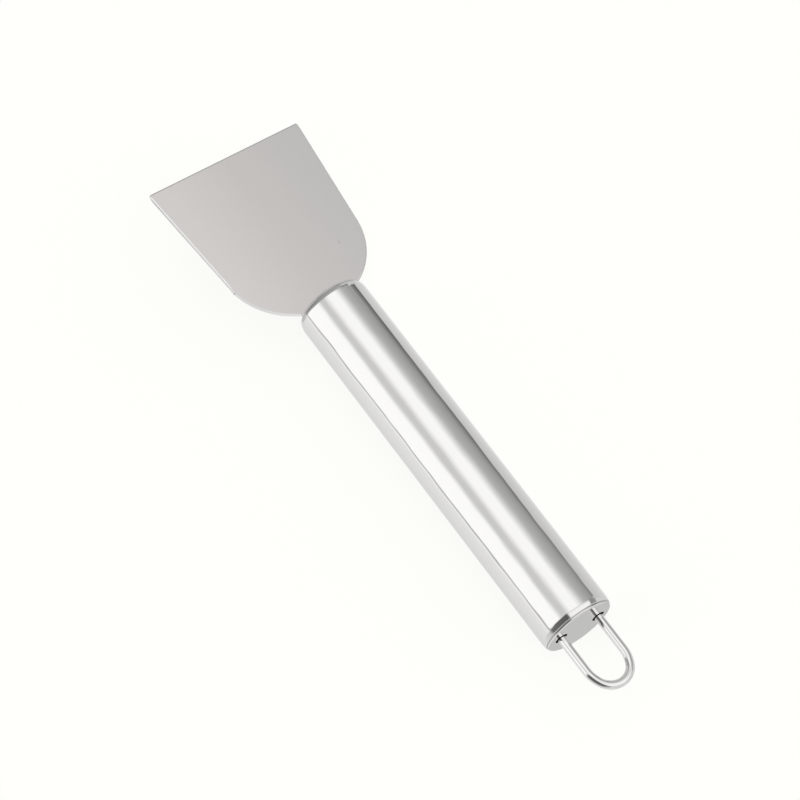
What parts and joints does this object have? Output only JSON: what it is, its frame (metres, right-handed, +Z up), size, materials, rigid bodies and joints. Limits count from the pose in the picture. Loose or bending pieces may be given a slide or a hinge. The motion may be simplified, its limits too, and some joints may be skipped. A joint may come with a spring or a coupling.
{
  "type": "cleaning scraper",
  "caption": "Hand scraper of stainless steel: a flared sheet blade set in a closed tube handle, with a bent wire loop at the butt end to hang it by.",
  "frame": {"origin": "on the ground, below the middle of the tool as it lies", "axes": "+X along the handle from the hanging loop to the blade's edge, +Y towards the raised corner of the blade, +Z up"},
  "size_m": [0.1978, 0.046, 0.0255],
  "materials": {
    "polished_tube": "polished",
    "polished_cap": "polished",
    "polished_wire": "polished",
    "satin_sheet": "satin"
  },
  "bodies": {
    "root": {"blade": "satin_sheet", "front_cap": "polished_cap", "handle_tube": "polished_tube", "rear_cap": "polished_cap", "hanging_loop": "polished_wire"}
  },
  "joints": []
}
